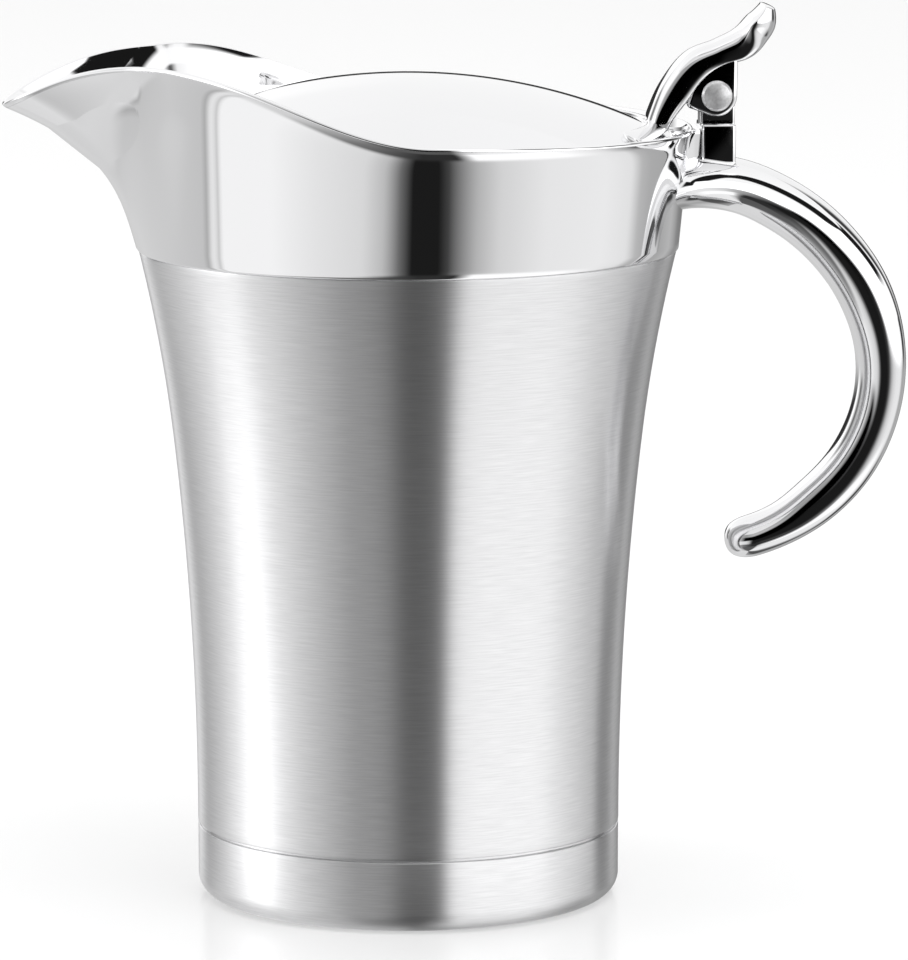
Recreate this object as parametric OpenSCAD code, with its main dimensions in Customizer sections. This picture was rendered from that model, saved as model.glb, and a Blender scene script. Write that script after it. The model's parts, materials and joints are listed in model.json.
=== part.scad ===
// Insulated gravy boat: a double walled steel jug with a polished spout collar,
// a hinged domed lid with a thumb lever, and a hook handle fixed at its top only.
// Origin at the centre of the foot ring, +Z up, spout towards -X, handle towards +X.

/* [Body] */
// Radius of the straight foot of the body
body_r = 42.45; // [41:0.05:44]
// Height at which the side wall starts to flare
flare_z = 16; // [15.5:0.1:17]
// Radius of the hollow sweep of the lower side wall
sweep_r = 670; // [640:10:700]
// Height at which the sweep tightens
tighten_z = 93; // [90:1:97]
// Radius of the hollow sweep of the upper side wall
top_sweep_r = 310; // [300:10:340]
// Height of the seam between body and collar
seam_z = 130.6; // [129:0.2:132]
// Thickness of the sheet steel
sheet = 0.6; // [0.5:0.1:0.7]
// Space between the two walls, sheet included
wall_gap = 5; // [4.5:0.5:6]
// Height of the inside floor of the cup
cup_floor_z = 9.5; // [9:0.5:11]
// Radius of the rounded lower edge of the foot cap
foot_round = 4.1; // [3.5:0.1:4.5]

/* [Collar and spout] */
// Radius of the collar's lower edge
seam_r = 53.95; // [53.9:0.05:54.2]
// Radius of the rim
rim_r = 57; // [56.8:0.1:57.4]
// Height of the rim beside the lid
rim_z = 155.9; // [155:0.1:156.5]
// How far the rim falls towards the handle
rim_fall = 1.5; // [0:0.1:2]
// How far the rim climbs to the shoulders of the spout
rise = 12.8; // [12:0.2:15]
// How far the lip drops from the shoulders to its tip
drop = 9.3; // [8:0.1:11]
// Distance of the lip's tip from the body's axis
reach = 80.5; // [78:0.5:84]
// Radius of the lip's tip, seen from above
tip_r = 12.3; // [11:0.1:13]
// Half of the angle between the two sides of the lip
lip_angle = 31.5; // [29:0.5:33]
// Radius of the neck where the lip meets the round rim
neck_r = 24; // [18:1:30]
// Share of the collar's spread that is reached evenly, round the body
lean = 0.42; // [0.3:0.02:0.5]
// The same share along the keel of the spout
spout_lean = 0.31; // [0.25:0.01:0.4]
// How suddenly the rim turns outwards round the body, as a power
lip_power = 12; // [6:1:16]
// How suddenly the keel of the spout turns outwards, as a power
spout_power = 3.4; // [2.8:0.1:4]

/* [Lid] */
// Radius of the dome
dome_r = 117; // [112:1:122]
// Height of the top of the dome
dome_top = 165.3; // [164.8:0.1:166]
// Radius of the lid's edge
lid_r = 52.85; // [52.6:0.05:52.95]
// Thickness of the lid's sheet
lid_sheet = 0.8; // [0.6:0.1:0.9]
// Height of the turned-down hem
hem = 2; // [1:0.1:2.2]

/* [Hinge and lever] */
// Distance of the hinge pin from the body's axis
pin_x = 61.1; // [60.6:0.05:61.5]
// Height of the hinge pin
pin_z = 161.1; // [160.9:0.05:161.3]
// Radius of the pin's shank
pin_r = 2; // [1.8:0.1:2.2]
// Radial running clearance of the pin in the post
pin_clearance = 0.05; // [0.03:0.01:0.08]
// Radius of the pin's domed head
pin_head_r = 3.05; // [2.9:0.05:3.3]
// Thickness of each ear of the lever
ear = 2.4; // [2.2:0.1:2.6]
// Width of the lever across its ears
lever_w = 12.2; // [12:0.1:12.6]

/* [Handle] */
// Mean outer radius of the hook
hook_r = 41.3; // [40:0.1:43]
// Distance of the hook's centre from the body's axis
hook_x = 58.5; // [57.5:0.5:59.5]
// Height of the hook's centre
hook_z = 107; // [106.5:0.1:107.5]
// Angle of the hook's tail below the level of its centre
tail_angle = 77; // [70:1:80]
// Width of the grip
grip_w = 17; // [15:0.5:19]
// Thickness of the grip where it is thickest
grip_t = 11; // [9:0.2:12]
// Width of the flared root on the collar
root_w = 38; // [28:1:40]

/* [Hidden] */

// Centres of the side wall's two sweeps, in the plane of the profile, and the slope where they meet
sweep_c = [body_r + sweep_r, flare_z];
tighten_a = asin((tighten_z - flare_z) / sweep_r);
top_c = sweep_c - (sweep_r - top_sweep_r) * [cos(tighten_a), -sin(tighten_a)];
// Height where the cup meets the throat liner
weld_z = seam_z - 2.6;
// Lip of the collar that rests on the body's upper edge
ledge = 1.65;

// Foot cap
cap_sheet = 0.7;
cap_top = 14.45;
cap_groove = 0.5;
neck_top = 19;
foot_floor_z = 2.4;
foot_inner_r = 35.4;

// Seen from above, the lip is a tip arc, two straight sides, two neck arcs and the round rim
tip_c = reach - tip_r;
side_d = tip_c * sin(lip_angle) + tip_r;
neck_a = asin((side_d + neck_r) / (rim_r + neck_r)) - lip_angle;
neck_c = (rim_r + neck_r) * [cos(neck_a), sin(neck_a)];
tip_end = atan2(tip_r * cos(lip_angle), tip_c + tip_r * sin(lip_angle));
side_end_p = neck_c - neck_r * [sin(lip_angle), cos(lip_angle)];
side_end = atan2(side_end_p[1], side_end_p[0]);
// The rim starts to climb here and is highest here
climb_x = 3;
shoulder_x = -50;

// Angle over which the spout's section fades into the round collar
spout_reach = 50;

// Steps round half of the collar, and levels from its seam to its rim
half_steps = 38;
levels = [0, 0.2, 0.36, 0.48, 0.58, 0.66, 0.74, 0.81, 0.87, 0.92, 0.96, 1];
hem_level = 10;
// The liner leaves the collar below this height, within this distance
liner_leaves_z = 150.5;
liner_leaves_h = 7;
liner_play = 0.05;

// Lid
dome_c = dome_top - dome_r;
dome_edge_z = dome_c + sqrt(dome_r * dome_r - lid_r * lid_r);
lid_hole_x = 49.8;
lid_hole_y = 3.6;
screw_r = 1.2;
lid_screw_len = 3.6;
lid_screw_head_r = 2;
lid_screw_head_h = 1.6;
screw_seat = dome_c + sqrt(pow(dome_r - lid_sheet, 2) - pow(lid_hole_x, 2) - pow(lid_hole_y, 2));

// Hinge
tongue_w = lever_w - 2 * ear - 0.6;
post_x0 = 58.2;
post_x1 = 65;
post_w = 12;
web_w = 10.8;
web_l = 3.2;
web_hollow_r = 1.45;
web_hollow_x = 56.75;
web_top = 154.6;
seat_z = 147;
shoulder_z = 155.5;
tongue_r = 3.4;
ear_r = 4.1;
// Stations along the lever: place, height, half thickness, half width
lever_line = [
    [48.2, 151.2, 2.0, 7.0],
    [50.2, 156.8, 2.4, 6.8],
    [53.05, 161.7, 3.0, 6.5],
    [57.1, 166.75, 3.0, 6.4],
    [62.05, 169.25, 2.6, 6.2],
    [67.0, 171.4, 3.0, 6.5],
    [70.4, 174.9, 2.9, 7.0],
    [71.9, 178.4, 1.5, 5.6]
];
// Crescent foot of the lever: thickness, half width, half angle and distance from the lid's edge
foot_sheet = 1.2;
foot_half = 2.6;
foot_angle = 30;
foot_inset = 0.2;

// Handle
hook_c = [hook_x, hook_z];
root_angle = 101;
// Stations along the hook: angle, outer radius, thickness and width as shares of the values above
hook_line = [
    [root_angle, 1.008, 0.93, root_w / grip_w],
    [95, 1.010, 0.94, 1.62],
    [87, 1.011, 0.96, 1.2],
    [77, 1.009, 0.98, 1.04],
    [62, 0.995, 1.00, 1],
    [42, 0.990, 1.00, 1],
    [22, 1.000, 0.98, 0.98],
    [2, 1.003, 0.89, 0.95],
    [-16, 1.006, 0.85, 0.91],
    [-34, 1.008, 0.85, 0.86],
    [-50, 1.003, 0.84, 0.8],
    [-64, 0.996, 0.76, 0.75],
    [-tail_angle, 0.972, 0.64, 0.7]
];
handle_screw_y = 5;
handle_screw_z = 143;
handle_screw_r = 2;
plate_x = 52.9;

// Points of a lofted section, and the powers of its outline: the grip's, the lever's crown and its sides
section_sides = 20;
grip_power = 2.6;
crown_power = 2.1;
side_power = 7;

function sgn_pow(v, e) = sign(v) * pow(abs(v), e);
function unit(v) = v / norm(v);
function ease(v) = let (c = min(1, max(0, v))) c * c * (3 - 2 * c);
function mix(a, b, f) = a + (b - a) * f;

// Distance of the rim from the axis, at angle a from the spout
function rim_at(a) =
    a < tip_end ? tip_c * cos(a) + sqrt(tip_r * tip_r - pow(tip_c * sin(a), 2))
    : a < side_end ? side_d / sin(a + lip_angle)
    : a < neck_a ? neck_c[0] * cos(a) + neck_c[1] * sin(a)
        - sqrt(neck_r * neck_r - pow(neck_c[0] * sin(a) - neck_c[1] * cos(a), 2))
    : rim_r;

// Height of the rim, from its place along X
function rim_height(x) =
    x > climb_x ? rim_z - rim_fall * (x - climb_x) / (rim_r - climb_x)
    : x > shoulder_x ? rim_z + rise * (1 - cos(180 * (climb_x - x) / (climb_x - shoulder_x))) / 2
    : rim_z + rise - drop * pow((shoulder_x - x) / (reach + shoulder_x), 2.2);

// A point of the collar's outer surface: s is the signed angle from the spout, t climbs from 0 to 1
function collar_point(s, t) =
    let (
        a = abs(s),
        r1 = rim_at(a),
        h = rim_height(-r1 * cos(a)) - seam_z,
        w = ease(1 - a / spout_reach),
        k = mix(lean, spout_lean, w),
        r = seam_r + (r1 - seam_r) * (k * t + (1 - k) * pow(max(t, 0), mix(lip_power, spout_power, w)))
    )
    [-r * cos(s), r * sin(s), seam_z + h * t];

function collar_normal(s, t) =
    unit(cross(collar_point(s, t + 0.01) - collar_point(s, t - 0.01),
               collar_point(s + 0.3, t) - collar_point(s - 0.3, t)));

// The same surface moved inwards by d
function skin(s, t, d) = collar_point(s, t) - d * collar_normal(s, t);

// Angles round the collar, closer together at the spout
collar_angles = [for (k = [1 - half_steps : half_steps])
    sgn_pow(k / half_steps, 1.6) * 180];

// Distance from the collar's outer face to the liner's outer face
function liner_depth(s, i) =
    i >= hem_level ? sheet
    : sheet + liner_play + (wall_gap + 0.5)
        * ease((liner_leaves_z - collar_point(s, levels[i])[2]) / liner_leaves_h);

function on_circle(s, r, z) = [-r * cos(s), r * sin(s), z];

// Closed sweep round the axis of sections that all have the same number of points
module swept_ring(sections) {
    n = len(sections);
    m = len(sections[0]);
    points = [for (sec = sections) each sec];
    faces = [for (i = [0 : n - 1]) for (j = [0 : m - 1])
        let (
            i2 = (i + 1) % n,
            j2 = (j + 1) % m,
            a = i * m + j,
            b = i2 * m + j,
            c = i2 * m + j2,
            d = i * m + j2
        )
        each [[a, b, c], [a, c, d]]];
    polyhedron(points = points, faces = faces, convexity = 8);
}

// Loft through a row of sections, with flat ends
module loft(sections) {
    n = len(sections);
    m = len(sections[0]);
    points = [for (sec = sections) each sec];
    sides = [for (i = [0 : n - 2]) for (j = [0 : m - 1])
        let (
            j2 = (j + 1) % m,
            a = i * m + j,
            b = (i + 1) * m + j,
            c = (i + 1) * m + j2,
            d = i * m + j2
        )
        each [[a, b, c], [a, c, d]]];
    first = [for (j = [1 : m - 2]) [0, j, j + 1]];
    end = (n - 1) * m;
    last = [for (j = [1 : m - 2]) [end, end + j + 1, end + j]];
    polyhedron(points = points, faces = concat(sides, first, last), convexity = 8);
}

// Section with rounded corners, in the plane of a normal n and the Y axis, its upper and lower
// halves drawn with powers of their own
function round_section(c, n, half_t, half_w, upper, lower) =
    [for (k = [0 : section_sides - 1])
        let (
            u = 360 * k / section_sides,
            e = 2 / (k < section_sides / 2 ? upper : lower),
            y = half_w * sgn_pow(cos(u), e),
            w = half_t * sgn_pow(sin(u), e)
        )
        [c[0] + n[0] * w, y, c[1] + n[1] * w]];

// Band of one sweep between two distances inside its outer face, on one side of the line of centres
module sweep_part(c, r, d0, d1, side) {
    intersection() {
        translate(sweep_c) rotate(180 - tighten_a) translate([0, side > 0 ? -sweep_r : 0])
            square([sweep_r + rim_r, sweep_r]);
        translate(c) difference() {
            circle(r = r + d1, $fn = 720);
            circle(r = r + d0, $fn = 720);
        }
    }
}

// Band of the side wall's profile, between two distances inside its outer face and two heights
module sweep_band(d0, d1, z0, z1) {
    intersection() {
        translate([0, z0]) square([rim_r + 10, z1 - z0]);
        union() {
            sweep_part(sweep_c, sweep_r, d0, d1, -1);
            sweep_part(top_c, top_sweep_r, d0, d1, 1);
        }
    }
}

// Quarter of a ring in the profile plane, turned by a
module quarter_band(c, r0, r1, a) {
    translate(c) rotate(a) intersection() {
        square(r1 + 1);
        difference() {
            circle(r = r1, $fn = 96);
            circle(r = r0, $fn = 96);
        }
    }
}

module outer_shell() {
    color("silver") rotate_extrude($fn = 144) {
        sweep_band(0, sheet, flare_z, seam_z);
        translate([body_r - sheet, cap_top + cap_groove])
            square([sheet, flare_z - cap_top - cap_groove]);
    }
}

module base_cap() {
    r = body_r - 0.05;
    wall_r = r - cap_sheet;
    inner_round = foot_floor_z - 0.5;
    color("silver") rotate_extrude($fn = 144) {
        translate([wall_r, foot_round]) square([cap_sheet, cap_top - foot_round]);
        quarter_band([r - foot_round, foot_round], foot_round - cap_sheet, foot_round, -90);
        translate([foot_inner_r, 0]) square([r - foot_round - foot_inner_r, cap_sheet]);
        quarter_band([foot_inner_r, inner_round], inner_round - cap_sheet, inner_round, 180);
        translate([foot_inner_r - inner_round, inner_round])
            square([cap_sheet, foot_floor_z + cap_sheet - inner_round]);
        translate([0, foot_floor_z]) square([foot_inner_r - inner_round, cap_sheet]);
        translate([body_r - sheet - cap_sheet, cap_top - 1])
            square([cap_sheet, neck_top - cap_top + 1]);
    }
}

module inner_cup() {
    r = body_r - wall_gap;
    round_r = 8;
    wall_z = cup_floor_z + round_r;
    color("gainsboro") rotate_extrude($fn = 144) {
        sweep_band(wall_gap, wall_gap + sheet, flare_z, weld_z);
        translate([r - sheet, wall_z]) square([sheet, flare_z - wall_z]);
        quarter_band([r - round_r, wall_z], round_r - sheet, round_r, -90);
        translate([0, cup_floor_z]) square([r - round_r, sheet]);
    }
}

// Outer sheet of the spout and collar, with the lip that rests on the body
module spout_collar() {
    last = len(levels) - 1;
    ledge_z = seam_z + sheet;
    color("whitesmoke") difference() {
        swept_ring([for (s = collar_angles) concat(
            [for (i = [0 : last]) skin(s, levels[i], 0)],
            [for (i = [last : -1 : 1]) skin(s, levels[i], sheet)],
            [on_circle(s, seam_r - sheet, ledge_z),
             on_circle(s, seam_r - ledge, ledge_z),
             on_circle(s, seam_r - ledge, seam_z)])]);
        handle_screw_holes(handle_screw_r + 0.2);
    }
}

// Inner sheet of the spout and throat, welded to the collar at the rim and to the cup below
module throat_liner() {
    last = len(levels) - 1;
    outer_r = top_c[0] - sqrt(pow(top_sweep_r + wall_gap, 2) - pow(weld_z - top_c[1], 2));
    color("gainsboro") swept_ring([for (s = collar_angles) concat(
        [on_circle(s, outer_r, weld_z)],
        [for (i = [0 : last]) skin(s, levels[i], liner_depth(s, i))],
        [for (i = [last : -1 : 0]) skin(s, levels[i], liner_depth(s, i) + sheet)],
        [on_circle(s, outer_r - sheet, weld_z)])]);
}

// Solid bounded by the collar's sheet at depth d, for cutting what sits on it
module collar_core(d) {
    last = len(levels) - 1;
    swept_ring([for (s = collar_angles) concat(
        [for (i = [0 : last]) skin(s, levels[i], d)],
        [on_circle(s, 20, skin(s, 1, d)[2]), on_circle(s, 20, skin(s, 0, d)[2])])]);
}

module handle_screw_holes(r) {
    for (side = [-1, 1])
        translate([plate_x - 1, side * handle_screw_y, handle_screw_z])
            rotate([0, 90, 0]) cylinder(r = r, h = 10, $fn = 32);
}

// Smooth curve through the rows of a table, one unit of f from row to row
function along(table, f) =
    let (
        last = len(table) - 1,
        i = max(0, min(last - 1, floor(f))),
        u = f - i,
        p0 = table[max(0, i - 1)],
        p1 = table[i],
        p2 = table[i + 1],
        p3 = table[min(last, i + 2)]
    )
    0.5 * (2 * p1 + (p2 - p0) * u + (2 * p0 - 5 * p1 + 4 * p2 - p3) * u * u
        + (3 * p1 - p0 - 3 * p2 + p3) * u * u * u);

// One section of the hook, drawn in by a factor and turned further where the tail rounds off
function hook_section(f, shrink, turn) =
    let (
        row = along(hook_line, f),
        a = row[0] - turn,
        n = [cos(a), sin(a)],
        t = row[2] * grip_t / 2
    )
    round_section(hook_c + (row[1] * hook_r - t) * n, n, t * shrink,
        row[3] * grip_w / 2 * shrink, grip_power, grip_power);

// Hook handle, its root shaped to the collar and its top flattened for the hinge post
module handle() {
    last = len(hook_line) - 1;
    round_steps = 5;
    tail_round = 4.6;
    body = [for (k = [0 : 2 * last]) hook_section(k / 2, 1, 0)];
    tail = [for (k = [1 : round_steps])
        let (u = 84 * k / round_steps)
        hook_section(last, cos(u), tail_round * sin(u))];
    color("whitesmoke") difference() {
        loft(concat(body, tail));
        collar_core(0);
        translate([post_x0 - 0.1, -post_w / 2 - 0.1, seat_z])
            cube([post_x1 - post_x0 + 0.2, post_w + 0.2, 10]);
        translate([post_x0 - web_l - 0.1, -web_w / 2 - 0.1, seat_z])
            cube([web_l + 0.2, web_w + 0.2, 10]);
        handle_screw_holes(handle_screw_r);
    }
}

// Saddle behind the collar that spreads the handle's load
module handle_backing_plate() {
    color("gray") difference() {
        intersection() {
            translate([plate_x, -10, 138.2]) cube([4, 20, 9.6]);
            collar_core(sheet);
        }
        handle_screw_holes(handle_screw_r + 0.2);
    }
}

module handle_screws() {
    color("dimgray") for (side = [-1, 1])
        translate([plate_x, side * handle_screw_y, handle_screw_z]) rotate([0, 90, 0]) {
            cylinder(r = handle_screw_r, h = 8.5, $fn = 32);
            translate([0, 0, -1.6]) cylinder(r = 3.4, h = 1.6, $fn = 32);
        }
}

// Post on the handle, with a tongue that carries the pin between the lever's ears
module hinge_post() {
    color("whitesmoke") difference() {
        union() {
            translate([0, post_w / 2, 0]) rotate([90, 0, 0]) linear_extrude(post_w)
                polygon([[post_x0, seat_z], [post_x1, seat_z],
                         [post_x1, shoulder_z - 0.6], [post_x1 - 0.6, shoulder_z],
                         [post_x0 + 0.6, shoulder_z], [post_x0, shoulder_z - 0.6]]);
            translate([0, tongue_w / 2, 0]) rotate([90, 0, 0]) linear_extrude(tongue_w) {
                translate([pin_x, pin_z]) circle(r = tongue_r, $fn = 64);
                polygon([[post_x0, shoulder_z - 1], [post_x1, shoulder_z - 1],
                         [post_x1, pin_z - 2], [pin_x + tongue_r, pin_z],
                         [pin_x - tongue_r + 0.2, pin_z - 0.6], [post_x0, pin_z - 1.6]]);
            }
            // Narrow web that fills the space between post and collar
            difference() {
                translate([post_x0 - web_l, -web_w / 2, seat_z])
                    cube([web_l + 0.4, web_w, web_top - seat_z]);
                rotate_extrude($fn = 128)
                    polygon([[0, seat_z - 1], [seam_r + 1.25, seat_z - 1], [seam_r + 1.5, seat_z + 3],
                             [seam_r + 2.1, seat_z + 5.2], [rim_r - 0.2, seat_z + 6.6],
                             [rim_r + 0.6, seat_z + 7.6], [rim_r + 0.6, seat_z + 12], [0, seat_z + 12]]);
                // Hollow sides, with a fillet to the post and one to the collar
                for (side = [-1, 1]) translate([web_hollow_x, side * web_w / 2, seat_z - 1])
                    cylinder(r = web_hollow_r, h = 20, $fn = 32);
            }
        }
        translate([pin_x, post_w, pin_z]) rotate([90, 0, 0])
            cylinder(r = pin_r + pin_clearance, h = 2 * post_w, $fn = 48);
    }
}

// Domed lid with a turned-down hem
module lid_shell() {
    color("white") difference() {
        rotate_extrude($fn = 180) {
            intersection() {
                translate([0, dome_edge_z - 2]) square([lid_r, dome_r]);
                translate([0, dome_c]) difference() {
                    circle(r = dome_r, $fn = 720);
                    circle(r = dome_r - lid_sheet, $fn = 720);
                }
            }
            translate([lid_r - lid_sheet, dome_edge_z - hem]) square([lid_sheet, hem - 0.3]);
        }
        lid_screw_holes(screw_r, 130, 40);
    }
}

module lid_screw_holes(r, z, h) {
    for (side = [-1, 1])
        translate([lid_hole_x, side * lid_hole_y, z]) cylinder(r = r, h = h, $fn = 32);
}

function lever_section(f) =
    let (
        p = along(lever_line, f),
        d = along(lever_line, f + 0.05) - along(lever_line, f - 0.05),
        dir = unit([d[0], d[1]])
    )
    round_section([p[0], p[1]], [-dir[1], dir[0]], p[2], p[3], crown_power, side_power);

// One ear in its own plane: a rounded lug under the bar
module ear_outline() {
    difference() {
        union() {
            translate([pin_x, pin_z]) circle(r = ear_r, $fn = 64);
            polygon([[55, 158.9], [pin_x - 1.5, pin_z - ear_r + 0.28], [pin_x + ear_r, pin_z],
                     [pin_x + ear_r + 0.1, 169], [60.5, 167.4], [56.4, 163.2]]);
        }
        translate([pin_x, pin_z]) circle(r = pin_r, $fn = 48);
    }
}

// Crescent plate on the dome, along the lid's edge
module lever_foot() {
    mid_r = lid_r - foot_inset - foot_half;
    intersection() {
        translate([0, 0, 140]) linear_extrude(30) {
            rotate(-foot_angle) intersection() {
                difference() {
                    circle(r = mid_r + foot_half, $fn = 180);
                    circle(r = mid_r - foot_half, $fn = 180);
                }
                polygon([[0, 0], [100, 0], 140 * [cos(foot_angle), sin(foot_angle)],
                         100 * [cos(2 * foot_angle), sin(2 * foot_angle)]]);
            }
            for (side = [-1, 1]) rotate(side * foot_angle)
                translate([mid_r, 0]) circle(r = foot_half, $fn = 48);
        }
        translate([0, 0, dome_c]) difference() {
            sphere(r = dome_r + foot_sheet, $fn = 180);
            sphere(r = dome_r, $fn = 180);
        }
    }
}

// Cast lever: a crowned bar from the lid to the thumb rest, two ears, and a pad on the dome
module lid_lever() {
    last = len(lever_line) - 1;
    per_station = 3;
    color("whitesmoke") difference() {
        union() {
            difference() {
                loft([for (k = [0 : last * per_station]) lever_section(k / per_station)]);
                translate([0, 0, dome_c]) sphere(r = dome_r, $fn = 180);
            }
            for (side = [-1, 1])
                translate([0, side > 0 ? lever_w / 2 : ear - lever_w / 2, 0])
                    rotate([90, 0, 0]) linear_extrude(ear) ear_outline();
            lever_foot();
        }
        lid_screw_holes(screw_r, 140, screw_seat + lid_screw_len - 140);
    }
}

// Screws that hold the lever from under the lid, their heads shaped to its underside
module lever_screws() {
    color("dimgray") for (side = [-1, 1]) {
        translate([lid_hole_x, side * lid_hole_y, screw_seat])
            cylinder(r = screw_r, h = lid_screw_len, $fn = 32);
        intersection() {
            translate([lid_hole_x, side * lid_hole_y, screw_seat - lid_screw_head_h])
                cylinder(r = lid_screw_head_r, h = 2 * lid_screw_head_h, $fn = 32);
            translate([0, 0, dome_c]) sphere(r = dome_r - lid_sheet, $fn = 180);
        }
    }
}

// Headed pin, pressed into both ears and free in the tongue
module hinge_pin() {
    cap_h = 0.6;
    cap_r = (pin_head_r * pin_head_r + cap_h * cap_h) / (2 * cap_h);
    color("lightgray") translate([pin_x, 0, pin_z]) rotate([90, 0, 0]) rotate_extrude($fn = 64) {
        translate([0, -lever_w / 2]) square([pin_r, lever_w]);
        for (side = [0, 1]) mirror([0, side]) translate([0, lever_w / 2]) {
            square([pin_head_r, 0.5]);
            translate([0, 0.5]) intersection() {
                square([pin_head_r, cap_h]);
                translate([0, cap_h - cap_r]) circle(r = cap_r, $fn = 180);
            }
        }
    }
}

outer_shell();
base_cap();
inner_cup();
spout_collar();
throat_liner();
handle();
handle_backing_plate();
handle_screws();
hinge_post();
lid_shell();
lid_lever();
lever_screws();
hinge_pin();
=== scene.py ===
"""Looks of an insulated gravy boat with a hinged lid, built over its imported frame."""

import json
import logging
import math
from dataclasses import dataclass, field
from enum import Enum
from typing import Optional, Sequence

import bmesh
import bpy
import numpy as np
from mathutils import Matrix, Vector

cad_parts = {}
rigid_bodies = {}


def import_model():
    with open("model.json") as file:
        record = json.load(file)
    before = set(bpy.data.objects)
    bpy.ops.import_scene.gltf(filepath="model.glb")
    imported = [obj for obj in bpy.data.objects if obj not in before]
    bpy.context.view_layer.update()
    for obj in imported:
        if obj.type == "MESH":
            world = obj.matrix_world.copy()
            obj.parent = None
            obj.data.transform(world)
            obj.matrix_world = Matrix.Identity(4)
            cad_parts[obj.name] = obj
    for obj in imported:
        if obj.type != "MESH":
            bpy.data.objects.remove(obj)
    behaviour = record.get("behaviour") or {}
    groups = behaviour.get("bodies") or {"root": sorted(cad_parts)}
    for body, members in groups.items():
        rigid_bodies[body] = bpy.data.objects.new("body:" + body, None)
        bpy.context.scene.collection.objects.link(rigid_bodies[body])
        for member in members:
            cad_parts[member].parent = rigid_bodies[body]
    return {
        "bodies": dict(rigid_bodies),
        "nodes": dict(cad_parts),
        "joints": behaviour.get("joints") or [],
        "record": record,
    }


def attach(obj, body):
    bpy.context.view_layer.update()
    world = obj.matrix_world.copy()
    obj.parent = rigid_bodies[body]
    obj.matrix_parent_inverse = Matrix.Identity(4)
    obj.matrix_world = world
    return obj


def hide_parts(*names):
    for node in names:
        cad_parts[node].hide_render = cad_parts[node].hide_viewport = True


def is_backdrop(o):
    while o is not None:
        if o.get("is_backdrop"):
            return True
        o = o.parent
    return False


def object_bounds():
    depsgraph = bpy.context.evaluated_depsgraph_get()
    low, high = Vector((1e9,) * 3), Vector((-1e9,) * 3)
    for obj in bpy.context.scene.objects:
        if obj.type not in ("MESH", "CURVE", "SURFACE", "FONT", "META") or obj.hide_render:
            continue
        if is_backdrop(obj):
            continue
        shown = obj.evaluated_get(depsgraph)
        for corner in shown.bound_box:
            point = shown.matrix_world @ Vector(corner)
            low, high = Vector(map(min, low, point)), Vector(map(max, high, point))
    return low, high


LOG = logging.getLogger("gravy_boat")
MM = 0.001
# Edges that turn by more than this are shaded sharp
SHARP = math.radians(38)
# A profile's corner is rounded where it turns by more than this, over at most this share of a side
LEAST_TURN = math.radians(12)
MOST_CUT = 0.45
# Thickness of the sheet steel, height of the seam between body and collar, and of the weld inside it
SHEET = 0.6
SEAM_Z = 130.6
WELD_Z = 128.0
# Mean radius of the body, by which an angle round it is turned into a length
BODY_R = 48.0
Array = np.ndarray
Obj = bpy.types.Object
Node = bpy.types.Node
Socket = bpy.types.NodeSocket
# Pairs of an angle, in degrees, and the brightness there
Stops = Sequence[tuple[float, float]]


# Formulas shared by several pieces
def ease(v: Array) -> Array:
    """Smooth step from 0 to 1: c*c*(3 - 2c), with c held between 0 and 1."""
    c = np.clip(v, 0, 1)
    return c * c * (3 - 2 * c)


def mix(a: Array, b: Array, f: Array) -> Array:
    """Straight mix: a + (b - a) f."""
    return a + (b - a) * f


def signed_power(v: Array, e: float) -> Array:
    """Power that keeps the sign: sign(v) |v|^e."""
    return np.sign(v) * np.abs(v) ** e


def unit(v: Array) -> Array:
    """Vectors along the last axis, divided by their lengths."""
    return v / np.linalg.norm(v, axis=-1, keepdims=True)


def along(table: Sequence[Sequence[float]], f: Array) -> Array:
    """Smooth curve through the rows of a table, by the Catmull-Rom cubic of four neighbouring rows.

    Args:
        table: rows of numbers.
        f: places on the curve, one unit from row to row.

    Returns:
        One row for each place.
    """
    rows = np.asarray(table, float)
    last = len(rows) - 1
    i = np.clip(np.floor(f), 0, last - 1).astype(int)
    u = (f - i)[..., None]
    p0, p1, p2, p3 = rows[np.maximum(i - 1, 0)], rows[i], rows[i + 1], rows[np.minimum(i + 2, last)]
    square = (2 * p0 - 5 * p1 + 4 * p2 - p3) * u**2
    cube = (3 * p1 - p0 - 3 * p2 + p3) * u**3
    return 0.5 * (2 * p1 + (p2 - p0) * u + square + cube)


def arc(centre: Sequence[float], radius: float, start: float, end: float, steps: int) -> Array:
    """Points centre + radius (cos a, sin a), with a from start to end in degrees."""
    a = np.radians(np.linspace(start, end, steps + 1))
    return np.asarray(centre, float) + radius * np.stack([np.cos(a), np.sin(a)], -1)


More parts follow.
